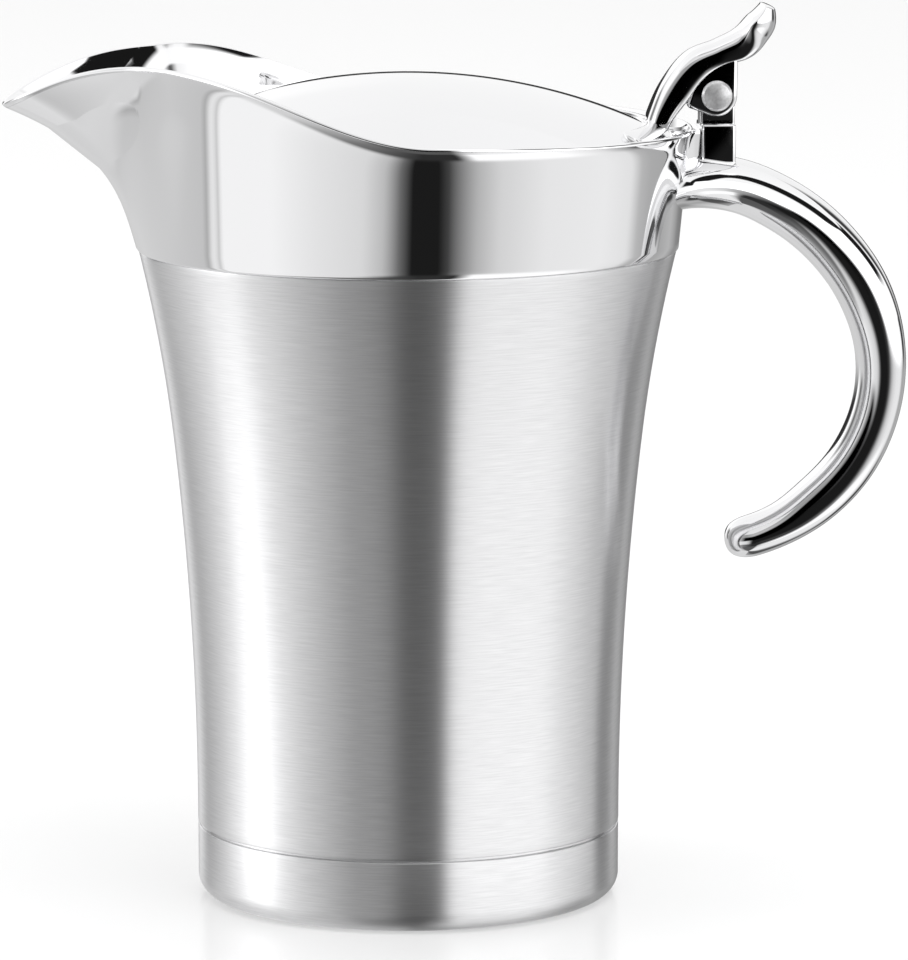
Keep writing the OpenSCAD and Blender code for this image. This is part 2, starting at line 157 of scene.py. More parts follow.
def soften(
    corners: Sequence[Sequence[float]], radius: float, closed: bool = True, steps: int = 5
) -> Array:
    """Profile whose sharp corners are rounded.

    A corner that turns by more than LEAST_TURN becomes an arc tangent to both of its sides, which starts
    radius * tan(turn / 2) before the corner, or at MOST_CUT of the shorter side where that is less.

    Args:
        corners: points of the profile.
        radius: radius of the rounding.
        closed: whether the last point joins the first.
        steps: faces along each rounding.

    Returns:
        The points of the rounded profile.
    """
    p = np.asarray(corners, float)
    out: list[Array] = []
    n = len(p)
    for i in range(n):
        if not closed and i in (0, n - 1):
            out.append(p[i : i + 1])
            continue
        a, b, c = p[i - 1], p[i], p[(i + 1) % n]
        la, lc = np.linalg.norm(b - a), np.linalg.norm(c - b)
        d0, d1 = (b - a) / la, (c - b) / lc
        turn = math.atan2(d0[0] * d1[1] - d0[1] * d1[0], float(d0 @ d1))
        if abs(turn) < LEAST_TURN:
            out.append(b[None])
            continue
        cut = min(radius * math.tan(abs(turn) / 2), MOST_CUT * la, MOST_CUT * lc)
        r = cut / math.tan(abs(turn) / 2)
        side = np.array([-d0[1], d0[0]]) * math.copysign(1, turn)
        centre = b - d0 * cut + side * r
        a0 = math.atan2(-side[1], -side[0])
        t = a0 + np.linspace(0, turn, steps + 1)
        out.append(centre + r * np.stack([np.cos(t), np.sin(t)], -1))
    return np.concatenate(out)


# Meshes
@dataclass
class Skin:
    """Vertices in millimetres and faces of one or more closed surfaces."""

    points: Array
    faces: list[Array]

    @staticmethod
    def grid(
        points: Array, close_u: bool = False, close_v: bool = True, caps: bool = False
    ) -> "Skin":
        """Faces between the rows u and columns v of a grid of points.

        Args:
            points: array of rows, columns and X, Y, Z.
            close_u: whether the last row joins the first.
            close_v: whether the last column joins the first.
            caps: whether the first and the last row are filled with a flat face.

        Returns:
            The surface.
        """
        rows, cols = points.shape[:2]
        index = np.arange(rows * cols).reshape(rows, cols)
        if close_u:
            index = np.concatenate([index, index[:1]])
        if close_v:
            index = np.concatenate([index, index[:, :1]], 1)
        quads = np.stack([index[:-1, :-1], index[1:, :-1], index[1:, 1:], index[:-1, 1:]], -1)
        faces = [quads.reshape(-1, 4)]
        if caps:
            first, last = np.arange(cols), np.arange(cols) + (rows - 1) * cols
            faces += [first[None], last[None, ::-1]]
        return Skin(points.reshape(-1, 3), faces)

    def __add__(self, other: "Skin") -> "Skin":
        """Both skins as one."""
        moved = [f + len(self.points) for f in other.faces]
        return Skin(np.concatenate([self.points, other.points]), self.faces + moved)

    def build(self, name: str) -> Obj:
        """Smooth mesh object with merged doubles and faces that point outwards."""
        mesh = bpy.data.meshes.new(name)
        mesh.vertices.add(len(self.points))
        mesh.vertices.foreach_set("co", (self.points * MM).astype(np.float32).ravel())
        totals = np.concatenate([np.full(len(f), f.shape[1]) for f in self.faces])
        loops = np.concatenate([f.ravel() for f in self.faces])
        mesh.loops.add(len(loops))
        mesh.loops.foreach_set("vertex_index", loops.astype(np.int32))
        mesh.polygons.add(len(totals))
        mesh.polygons.foreach_set("loop_start", (np.cumsum(totals) - totals).astype(np.int32))
        mesh.polygons.foreach_set("loop_total", totals.astype(np.int32))
        mesh.update(calc_edges=True)
        work = bmesh.new()
        work.from_mesh(mesh)
        bmesh.ops.remove_doubles(work, verts=work.verts, dist=1e-7)
        bmesh.ops.recalc_face_normals(work, faces=work.faces)
        work.to_mesh(mesh)
        work.free()
        mesh.validate()
        mesh.shade_smooth()
        mesh.set_sharp_from_angle(angle=SHARP)
        obj = bpy.data.objects.new(name, mesh)
        bpy.context.scene.collection.objects.link(obj)
        return obj


def revolve(profile: Array, steps: int = 256, closed: bool = True) -> Skin:
    """Surface (r cos a, r sin a, z) of a profile of points (r, z) turned round the Z axis."""
    a = np.linspace(0, 2 * np.pi, steps, endpoint=False)
    r, z = profile[:, 0, None], profile[:, 1, None]
    points = np.stack([r * np.cos(a), r * np.sin(a), z + 0 * a], -1)
    return Skin.grid(points, close_u=closed)


def plate(outline: Array, y0: float, y1: float, edge: float, steps: int = 5) -> Skin:
    """Plate parallel to the XZ plane with rounded edges.

    Its rings are the outline moved inwards by edge (1 - cos t), at the distance edge sin t from where the
    rounding starts, with t from 90 degrees to 0 at one face and back at the other.

    Args:
        outline: points (x, z), with rounded corners.
        y0: one face's place along Y.
        y1: the other face's place along Y.
        edge: radius of the rounded edges.
        steps: faces along each rounding.

    Returns:
        The plate's surface.
    """
    ahead = np.roll(outline, -1, 0) - np.roll(outline, 1, 0)
    normal = unit(np.stack([ahead[:, 1], -ahead[:, 0]], -1))
    x, z = outline.T
    area = np.sum(x * np.roll(z, -1) - z * np.roll(x, -1))
    normal *= 1 if area > 0 else -1
    t = np.radians(np.concatenate([np.linspace(90, 0, steps + 1), np.linspace(0, -90, steps + 1)]))
    inward = edge * (1 - np.cos(t))
    y = np.where(np.arange(len(t)) <= steps, y1 - edge, y0 + edge) + edge * np.sin(t)
    xz = outline[None] - inward[:, None, None] * normal[None]
    points = np.stack([xz[..., 0], y[:, None] + 0 * xz[..., 0], xz[..., 1]], -1)
    return Skin.grid(points, caps=True)


def sections(
    centre: Array,
    across: Array,
    half_t: Array,
    half_w: Array,
    upper: Array,
    lower: Array,
    sides: int,
    shift: Optional[Array] = None,
) -> Array:
    """Rounded sections in planes of a direction in XZ and the Y axis.

    Each is the superellipse y = w |cos u|^(2/p), t |sin u|^(2/p), with the signs of cos u and sin u, and a
    power p of its own for the half towards the direction and for the half away from it.

    Args:
        centre: rows of (x, z).
        across: rows of the unit direction of the thickness, (x, z).
        half_t: half thickness of each section.
        half_w: half width of each section.
        upper: power of each section's half towards the direction.
        lower: power of the other half.
        sides: points round a section.
        shift: how far the widest line lies from the middle, as a share of t, towards the direction.

    Returns:
        Points by section and side.
    """
    off = np.zeros((len(centre), 1)) if shift is None else shift[:, None]
    share = np.linspace(0, 1, sides, endpoint=False)
    u = 2 * np.pi * share
    e = 2 / np.where(share < 0.5, upper[:, None] + 0 * share, lower[:, None] + 0 * share)
    y = half_w[:, None] * signed_power(np.cos(u), e)
    rise = signed_power(np.sin(u), e)
    w = half_t[:, None] * (off + rise * (1 - np.sign(rise) * off))
    return np.stack([centre[:, :1] + across[:, :1] * w, y, centre[:, 1:] + across[:, 1:] * w], -1)


# Materials
def linear(code: str) -> tuple[float, float, float, float]:
    """Linear colour of an sRGB hex code: c / 12.92 up to 0.04045, else ((c + 0.055) / 1.055)^2.4."""
    parts = [int(code[i : i + 2], 16) / 255 for i in (1, 3, 5)]
    values = [c / 12.92 if c <= 0.04045 else ((c + 0.055) / 1.055) ** 2.4 for c in parts]
    return (values[0], values[1], values[2], 1.0)


class Graph:
    """Node tree that is written node by node."""

    def __init__(self, tree: bpy.types.NodeTree) -> None:
        """Starts from an empty tree."""
        tree.nodes.clear()
        self.tree = tree

    def add(self, kind: str, inputs: Optional[dict] = None, **settings: object) -> Node:
        """Adds a node with its settings and links.

        Args:
            kind: the shader node's type, such as Math.
            inputs: for each input, by name or place, a value, the socket that is linked to it, or the
                node whose first output is.
            settings: the node's own settings.

        Returns:
            The node.
        """
        node = self.tree.nodes.new("ShaderNode" + kind)
        for key, value in settings.items():
            setattr(node, key, value)
        for key, value in (inputs or {}).items():
            if isinstance(value, Node):
                value = value.outputs[0]
            if isinstance(value, Socket):
                self.tree.links.new(value, node.inputs[key])
            else:
                node.inputs[key].default_value = value
        return node


class Grain(Enum):
    """Which way the marks of the last tool run."""

    NONE = "none"
    ROUND_THE_BODY = "round the body"
    EVEN = "even"


# The gloss is drawn out across the tangent instead of along it
QUARTER_TURN = 0.25


@dataclass(frozen=True)
class Steel:
    """Stainless steel with the finish of its last tool.

    Stretch is how far the gloss is drawn out across the marks, line_mm and run_mm are the marks' width
    and length, relief is how much darker they can be, and metal is the share that mirrors.
    """

    name: str
    colour: str
    roughness: float
    grain: Grain = Grain.NONE
    stretch: float = 0.0
    line_mm: float = 0.3
    run_mm: float = 1.0
    relief: float = 0.0
    metal: float = 1.0

    def material(self) -> bpy.types.Material:
        """Builds the material: plain, or with faint marks in its tone, and for marks round the body a gloss
        drawn out across them.
        """
        material = bpy.data.materials.new(self.name)
        material.use_nodes = True
        graph = Graph(material.node_tree)
        high = linear(self.colour)
        look = {"Base Color": high, "Metallic": self.metal, "Roughness": self.roughness}
        shader = graph.add("BsdfPrincipled", look)
        graph.add("OutputMaterial", {0: shader})
        if self.grain is Grain.NONE:
            return material
        spot, scale = graph.add("TexCoord").outputs["Object"], 1 / (MM * self.line_mm)
        if self.grain is Grain.ROUND_THE_BODY:
            spot, scale = self.lines_round(graph, spot, scale), 1.0
            tangent = graph.add("Tangent", direction_type="RADIAL", axis="Z")
            shader.inputs["Anisotropic"].default_value = self.stretch
            shader.inputs["Anisotropic Rotation"].default_value = QUARTER_TURN
            graph.tree.links.new(tangent.outputs[0], shader.inputs["Tangent"])
        marks = graph.add("TexNoise", {"Vector": spot, "Scale": scale, "Detail": 3.0, "Roughness": 0.6})
        low = tuple(c * (1 - self.relief) for c in high[:3]) + (1.0,)
        tone = graph.add("Mix", {0: marks, 6: low, 7: high}, data_type="RGBA")
        graph.tree.links.new(tone.outputs[2], shader.inputs["Base Color"])
        return material

    def lines_round(self, graph: Graph, spot: Socket, lines: float) -> Node:
        """Noise space in which level lines run round the body: (turn BODY_R / run_mm, height lines).

        Args:
            graph: the material's nodes.
            spot: the place on the object.
            lines: lines per metre of height.

        Returns:
            The place in the noise.
        """
        xyz = graph.add("SeparateXYZ", {0: spot})
        turn = graph.add("Math", {0: xyz.outputs[1], 1: xyz.outputs[0]}, operation="ARCTAN2")
        length = graph.add("Math", {0: turn, 1: BODY_R / self.run_mm}, operation="MULTIPLY")
        height = graph.add("Math", {0: xyz.outputs[2], 1: lines}, operation="MULTIPLY")
        return graph.add("CombineXYZ", {0: length, 1: height})


# Stainless sheet brushed round the body with a belt: gloss drawn out up and down, and fine level lines
BRUSHED = Steel("stainless_steel_brushed", "#F6F6F7", 0.333, Grain.ROUND_THE_BODY, 1.0, 0.28, 8.0, 0.3)
# Stainless sheet as it leaves the press, lightly satin: soft reflections
SATIN = Steel("stainless_steel_satin", "#DCDCDE", 0.28, Grain.EVEN, line_mm=0.5, relief=0.05)
# Stainless sheet buffed to a mirror: sharp reflections with the least haze
MIRROR = Steel("stainless_steel_mirror_polished", "#F2F2F3", 0.035)
# Cast stainless steel, ground and buffed: sharp reflections, slightly hazier than the sheet
CASTING = Steel("cast_steel_polished", "#F0F0F1", 0.05)
# Pin head blasted matt: scatters much of the light, so it stays pale and mottled between the mirrors
PIN = Steel("blasted_steel_matt", "#F4F4F5", 0.3, Grain.EVEN, line_mm=0.6, relief=0.5, metal=0.6)
# Bought screws and stamped backing plate, as they come: dull, with little shine
HARDWARE = Steel("plain_steel_hardware", "#A8A8AA", 0.38, Grain.EVEN, line_mm=0.6, relief=0.08)


class Workshop:
    """Dresses pieces and hangs them on the frame."""

    def __init__(self, frame: dict) -> None:
        """Keeps the frame and makes each finish once."""
        self.frame = frame
        finishes = (BRUSHED, SATIN, MIRROR, CASTING, PIN, HARDWARE)
        self.materials = {steel: steel.material() for steel in finishes}

    def dress(self, obj: Obj, steel: Steel) -> None:
        """Gives an object one finish."""
        obj.data.materials.clear()
        obj.data.materials.append(self.materials[steel])

    def place(self, skin: Skin, name: str, steel: Steel, body: str, node: str, slot: str) -> None:
        """Builds a piece that stands for a node of the frame.

        Args:
            skin: its surface.
            name: its name.
            steel: its finish.
            body: the body that it moves with.
            node: the node that it stands for.
            slot: the record's slot of its finish; not used.
        """
        obj = skin.build(name)
        self.dress(obj, steel)
        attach(obj, body)
        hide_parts(node)
        LOG.info("%s: %d faces, stands for %s", name, len(obj.data.polygons), node)

    def keep(self, node: str, steel: Steel) -> None:
        """Dresses a node of the frame that is shown as it is."""
        self.dress(self.frame["nodes"][node], steel)
        LOG.info("%s: kept as packed", node)


@dataclass
class Body:
    """Double walled body: brushed shell, foot cap and inner cup."""

    foot_r: float = 42.45
    flare_z: float = 16.0
    low_sweep: float = 670.0
    tighten_z: float = 93.0
    high_sweep: float = 310.0
    sheet: float = SHEET
    gap: float = 5.0
    cup_floor: float = 9.5
    cup_round: float = 8.0
    cap_round: float = 4.1
    cap_top: float = 14.35
    cap_step: float = 1.0
    cap_inset: float = 0.05
    groove: float = 0.6
    cap_sheet: float = 0.7
    neck_top: float = 19.0
    ring_r: float = 35.4
    ring_round: float = 1.9
    raised_floor: float = 2.4
    shell_edge: float = 0.35
    cap_edge: float = 0.3
    cup_edge: float = 0.1

    def radius(self, z: Array, depth: float) -> Array:
        """Radius of the side wall at a height, at a depth below its outer face.

        Below the flare it is foot_r - depth. Above it is c - sqrt((R + depth)^2 - (z - h)^2), with (c, h)
        the centre and R the radius of the low sweep, and of the high sweep above the height tighten_z.
        """
        c0, h0, tighten = self.foot_r + self.low_sweep, self.flare_z, self.tighten_z
        a = math.asin((tighten - h0) / self.low_sweep)
        c1 = c0 - (self.low_sweep - self.high_sweep) * math.cos(a)
        h1 = h0 + (self.low_sweep - self.high_sweep) * math.sin(a)
        low = c0 - np.sqrt((self.low_sweep + depth) ** 2 - (np.minimum(z, tighten) - h0) ** 2)
        high = c1 - np.sqrt((self.high_sweep + depth) ** 2 - (np.maximum(z, tighten) - h1) ** 2)
        return np.where(z < h0, self.foot_r - depth, np.where(z < tighten, low, high))

    def wall(self, depth: float, z0: float, z1: float, steps: int = 72) -> Array:
        """Points (r, z) of the side wall at a depth, from one height to another."""
        z = np.linspace(z0, z1, steps)
        return np.stack([self.radius(z, depth), z], -1)

    def shell(self) -> Skin:
        """Brushed outer shell, with softened edges at the groove and under the collar."""
        z0, z1 = self.cap_top + self.groove, SEAM_Z
        profile = np.concatenate([self.wall(0, z0, z1), self.wall(self.sheet, z1, z0)])
        return revolve(soften(profile, self.shell_edge))

    def cap(self) -> Skin:
        """Foot cap: wall, rounded lower edge, standing ring, raised floor and neck inside the shell."""
        r, t, q = self.foot_r - self.cap_inset, self.cap_sheet, self.cap_round
        ring, up, floor = self.ring_r, self.ring_round, self.raised_floor
        top, low = self.cap_top, self.cap_top - self.cap_step
        neck, neck_top = self.foot_r - self.sheet - t, self.neck_top
        outer = [
            [[0, floor]],
            [[ring - up, floor]],
            arc((ring, up), up, 180, 270, 10),
            arc((r - q, q), q, -90, 0, 16),
            [[r, top], [neck + t, top], [neck + t, neck_top]],
            [[neck, neck_top], [neck, low], [r - t, low]],
            arc((r - q, q), q - t, 0, -90, 12),
            arc((ring, up), up - t, 270, 180, 8),
            [[ring - up + t, floor + t], [0, floor + t]],
        ]
        return revolve(soften(np.concatenate(outer), self.cap_edge, closed=False))

    def cup(self) -> Skin:
        """Inner cup with its rounded bottom corner."""
        r, q, t = self.foot_r - self.gap, self.cup_round, self.sheet
        z0 = self.cup_floor + q
        profile = [
            [[0, self.cup_floor]],
            arc((r - q, z0), q, -90, 0, 12),
            self.wall(self.gap, z0 + 0.5, WELD_Z),
            self.wall(self.gap + t, WELD_Z, z0 + 0.5),
            arc((r - q, z0), q - t, 0, -90, 12),
            [[0, self.cup_floor + t]],
        ]
        return revolve(soften(np.concatenate(profile), self.cup_edge, closed=False))

    def build(self, shop: Workshop) -> None:
        """Places the three pieces."""
        shop.place(self.shell(), "brushed_shell", BRUSHED, "vessel", "outer_shell", "brushed_shell")
        shop.place(self.cap(), "foot_cap", BRUSHED, "vessel", "base_cap", "brushed_shell")
        shop.place(self.cup(), "cup", SATIN, "vessel", "inner_cup", "satin_inner")


@dataclass
class Collar:
    """Polished collar that is drawn out into the pouring lip, and its welded liner."""

    seam_z: float = SEAM_Z
    seam_r: float = 53.95
    rim_r: float = 57.0
    rim_z: float = 155.9
    rim_fall: float = 1.5
    rise: float = 12.8
    drop: float = 9.3
    reach: float = 80.5
    tip_r: float = 12.3
    lip_angle: float = 31.5
    neck_r: float = 24.0
    lean: float = 0.75
    spout_lean: float = 0.31
    lip_power: float = 20.0
    spout_power: float = 3.4
    spout_reach: float = 50.0
    climb_x: float = 3.0
    shoulder_x: float = -50.0
    sheet: float = SHEET
    edge: float = 0.5
    edge_share: float = 0.5 / 30
    low_edge: float = 0.45
    low_share: float = 0.019
    ledge: float = 1.65
    ledge_edge: float = 0.45
    fit: float = 0.05
    step_top: float = 147.5
    step_run: float = 5.5
    step: float = 5.5
    weld_share: float = 0.955
    liner_top: float = 0.988
    weld_r: float = 46.9
    columns: int = 200
    tip_c: float = field(init=False)
    side_d: float = field(init=False)
    neck_a: float = field(init=False)

    def __post_init__(self) -> None:
        """Works out the lip seen from above: a tip arc, two straight sides and two neck arcs."""
        b = math.radians(self.lip_angle)
        self.tip_c = self.reach - self.tip_r
        self.side_d = self.tip_c * math.sin(b) + self.tip_r
        self.neck_a = math.asin((self.side_d + self.neck_r) / (self.rim_r + self.neck_r)) - b

    def rim_at(self, a: Array) -> Array:
        """Distance of the rim from the axis, at the angle a from the lip, in radians.

        On the tip and neck arcs it is the ray's meeting with the circle, on the straight side
        side_d / sin(a + lip_angle), and behind them rim_r.
        """
        b, c, tip_r, neck_r = math.radians(self.lip_angle), self.tip_c, self.tip_r, self.neck_r
        far = self.rim_r + neck_r
        nx, ny = far * math.cos(self.neck_a), far * math.sin(self.neck_a)
        tip_end = math.atan2(tip_r * math.cos(b), c + tip_r * math.sin(b))
        side_end = math.atan2(ny - neck_r * math.cos(b), nx - neck_r * math.sin(b))
        tip = c * np.cos(a) + np.sqrt(np.maximum(tip_r**2 - (c * np.sin(a)) ** 2, 0))
        side = self.side_d / np.maximum(np.sin(a + b), 0.1)
        beside = nx * np.sin(a) - ny * np.cos(a)
        neck = nx * np.cos(a) + ny * np.sin(a) - np.sqrt(np.maximum(neck_r**2 - beside**2, 0))
        return np.select([a < tip_end, a < side_end, a < self.neck_a], [tip, side, neck], self.rim_r)

    def rim_height(self, x: Array) -> Array:
        """Height of the rim along X.

        Behind climb_x it falls straight by rim_fall. Then it climbs by rise (1 - cos(180 v)) / 2 to the
        shoulder, and drops by drop v^2.2 to the tip, with v from 0 to 1 along each stretch.
        """
        back = self.rim_z - self.rim_fall * (x - self.climb_x) / (self.rim_r - self.climb_x)
        run = (self.climb_x - x) / (self.climb_x - self.shoulder_x)
        climb = self.rim_z + self.rise * (1 - np.cos(np.pi * run)) / 2
        past = np.maximum(self.shoulder_x - x, 0) / (self.reach + self.shoulder_x)
        lip = self.rim_z + self.rise - self.drop * past**2.2
        return np.select([x > self.climb_x, x > self.shoulder_x], [back, climb], lip)

    def outer(self, s: Array, t: Array) -> Array:
        """Outer surface at the signed angle s from the lip and the share t of the height.

        r = seam_r + (rim - seam_r) (k t + (1 - k) t^p), where k and p fade from the keel's values at s = 0
        to the round collar's. The point is (-r cos s, r sin s, seam_z + h t).
        """
        a = np.abs(s)
        r1 = self.rim_at(a)
        h = self.rim_height(-r1 * np.cos(a)) - self.seam_z
        w = ease(1 - np.degrees(a) / self.spout_reach)
        k, p = mix(self.lean, self.spout_lean, w), mix(self.lip_power, self.spout_power, w)
        r = self.seam_r + (r1 - self.seam_r) * (k * t + (1 - k) * np.maximum(t, 0) ** p)
        return np.stack([-r * np.cos(s), r * np.sin(s), self.seam_z + h * t], -1)

    def skin(self, s: Array, t: Array, depth: Array) -> Array:
        """The outer surface moved inwards along its normal, the cross product of its two slopes."""
        up = self.outer(s, t + 0.01) - self.outer(s, t - 0.01)
        along_s = self.outer(s + 0.005, t) - self.outer(s - 0.005, t)
        return self.outer(s, t) - np.asarray(depth)[..., None] * unit(np.cross(up, along_s))

    def angles(self) -> Array:
        """Angles round the collar, closer together at the lip: 180 degrees times sign(k) |k|^1.5."""
        k = np.linspace(-1, 1, 2 * self.columns, endpoint=False)
        return np.pi * signed_power(k, 1.5)

    def sweep(self, t: Array, depth: Array) -> Array:
        """Grid of points, with a row for each pair of height share and depth."""
        s, t = np.broadcast_arrays(self.angles()[None], t[:, None])
        return self.skin(s, t, depth[:, None] + 0 * s)

    def liner_depth(self, z: Array) -> Array:
        """Depth of the liner: sheet + fit + step ease((step_top - z) / step_run)."""
        return self.sheet + self.fit + self.step * ease((self.step_top - z) / self.step_run)

    def circle(self, r: float, z: float) -> Array:
        """One row of points on a level circle."""
        s = self.angles()
        return np.stack([-r * np.cos(s), r * np.sin(s), z + 0 * s], -1)[None]

    def collar(self) -> Skin:
        """Outer sheet, the rounded double edge of the rim and the ledge that rests on the body.

        The edge runs over both sheets: quarter circles of the radius edge at its two corners.
        """
        e, full, reach = self.edge, 2 * self.sheet, self.edge_share
        q = np.radians(np.linspace(0, 90, 6))
        t = np.concatenate([[self.low_share], np.linspace(0.04, 0.985, 44) ** 0.8])
        edge_t = [1 - reach * (1 - np.sin(q)), 1 - reach * (1 - np.cos(q)), [0.985, 0.96]]
        edge_d = [e * (1 - np.cos(q)), full - e * (1 - np.sin(q)), [full, full]]
        rows = self.sweep(np.concatenate([t, *edge_t]), np.concatenate([0 * t, *edge_d]))
        back = self.sweep(np.array([0.9, 0.5, 0.1]), np.full(3, self.sheet))
        r, z = self.seam_r, self.seam_z
        roll = arc((r - self.low_edge, z + self.low_edge), self.low_edge, -90, -8, 6)
        ledge = [[r - self.ledge + self.ledge_edge, z + self.sheet], [r - self.ledge, z]]
        low = [self.circle(*row) for row in roll]
        inner = [self.circle(*row) for row in ledge]
        return Skin.grid(np.concatenate(low + [rows, back] + inner), close_u=True)

    def liner(self) -> Skin:
        """Inner sheet: follows the collar under the rim, then leaves it for the cup's upper edge."""
        t = np.linspace(0, self.liner_top, 60)[:, None] ** 0.8
        s, t = np.broadcast_arrays(self.angles()[None], t)
        deep = self.liner_depth(self.outer(s, t)[..., 2])
        near = np.where(t > self.weld_share, np.minimum(deep, self.sheet + self.fit), deep)
        inner = self.skin(s, t, near + self.sheet)
        outer = self.skin(s, t, near + self.fit)
        low = [self.circle(self.weld_r, WELD_Z), self.circle(self.weld_r + self.sheet, WELD_Z)]
        return Skin.grid(np.concatenate([outer, inner[::-1]] + low), close_u=True)

    def build(self, shop: Workshop) -> None:
        """Places the two pieces."""
        shop.place(self.collar(), "pouring_collar", MIRROR, "vessel", "spout_collar", "polished_collar")
        shop.place(self.liner(), "collar_liner", MIRROR, "vessel", "throat_liner", "polished_collar")


@dataclass
class Handle:
    """Hook handle, fixed at its top only."""

    collar: Collar
    radius: float = 41.3
    x: float = 58.5
    z: float = 107.0
    width: float = 17.0
    thickness: float = 11.0
    root_width: float = 38.0
    taper: float = -64.0
    tail: float = -81.6
    tail_round: float = 9.6
    power: float = 2.05
    more_power: float = 0.75
    bury: float = 0.15

    def line(self) -> list[list[float]]:
        """Stations along the hook: angle, and outer radius, thickness and width as shares."""
        return [
            [101, 1.008, 0.93, self.root_width / self.width],
            [95, 1.010, 0.94, 1.66],
            [87, 1.011, 0.96, 1.32],
            [77, 1.009, 0.98, 1.14],
            [62, 0.995, 1.00, 1.02],
            [42, 0.990, 1.00, 1],
            [22, 1.000, 0.98, 0.98],
            [2, 1.003, 0.89, 0.95],
            [-16, 1.006, 0.85, 0.91],
            [-34, 1.008, 0.85, 0.86],
            [-50, 1.003, 0.84, 0.8],
            [self.taper, 0.996, 0.76, 0.76],
            [self.tail, 0.991, 0.75, 0.76],
        ]

    def skin(self) -> Skin:
        """Hook: sections along an arc, with a rounded tail, and the root laid on the collar.

        Over the last tail_round degrees the section shrinks by sqrt(1 - v^2), with v from 0 to 1. Its
        power is greater between the ends. A point that would be inside the collar is moved out along its
        radius, to the depth bury under the collar's face.
        """
        last = len(self.line()) - 1
        close = self.tail_round / (self.taper - self.tail)
        f = np.concatenate([
            np.linspace(0, last - close, 14 * last, endpoint=False),
            last - close * (1 - np.sin(np.radians(np.linspace(0, 89.4, 28)))),
        ])
        row = along(self.line(), f)
        shrink = np.sqrt(1 - np.clip(1 - (last - f) / close, 0, 1) ** 2)
        a = np.radians(row[:, 0])
        n = np.stack([np.cos(a), np.sin(a)], -1)
        t = row[:, 2] * self.thickness / 2
        centre = np.array([self.x, self.z]) + (row[:, 1] * self.radius - t)[:, None] * n
        between = ease((62 - row[:, 0]) / 45) * ease((row[:, 0] + 80) / 35)
        power = self.power + self.more_power * between
        p = sections(centre, n, t * shrink, row[:, 3] * self.width / 2 * shrink, power, power, 112)
        s = np.arctan2(p[..., 1], -p[..., 0])
        up = p[..., 2] - self.collar.seam_z
        h = self.collar.rim_height(-self.collar.rim_at(np.abs(s)) * np.cos(s)) - self.collar.seam_z
        face = self.collar.outer(s, np.clip(up / h, 0, 1))
        limit = np.hypot(face[..., 0], face[..., 1]) - self.bury
        r = np.hypot(p[..., 0], p[..., 1])
        out = np.where((r < limit) & (up > 0) & (p[..., 0] > 0), limit / r, 1)
        p[..., :2] *= out[..., None]
        return Skin.grid(p, caps=True)

    def build(self, shop: Workshop) -> None:
        """Places the hook, and dresses the hidden plate and screws."""
        shop.place(self.skin(), "hook_handle", CASTING, "vessel", "handle", "polished_casting")
        shop.keep("handle_backing_plate", HARDWARE)
        shop.keep("handle_screws", HARDWARE)


@dataclass
class Lid:
    """Domed lid with a turned-down hem."""

    radius: float = 52.85
    dome: float = 117.0
    top: float = 165.3
    sheet: float = 0.8
    hem: float = 2.0
    hem_straight: float = 0.9
    roll: float = 0.7

    def skin(self) -> Skin:
        """Dome z = centre + sqrt(dome^2 - r^2), rolled over at its edge into the hem, and underside."""
        c = self.top - self.dome
        edge_z = c + math.sqrt(self.dome**2 - self.radius**2)
        r = np.linspace(0, self.radius - 0.001, 60)
        upper = np.stack([r, c + np.sqrt(self.dome**2 - r**2)], -1)
        r = np.linspace(self.radius - self.sheet, 0, 40)
        lower = np.stack([r, c + np.sqrt((self.dome - self.sheet) ** 2 - r**2)], -1)
        low = edge_z - self.hem
        corners = [[self.radius, edge_z], [self.radius, edge_z - self.hem_straight]]
        hem = [[self.radius, low], [self.radius - self.sheet, low]]
        profile = np.concatenate([upper[:-1], corners, hem, lower])
        return revolve(soften(profile, self.roll, closed=False), 288)

    def build(self, shop: Workshop) -> None:
        """Places the lid."""
        shop.place(self.skin(), "domed_lid", MIRROR, "lid", "lid_shell", "polished_lid")


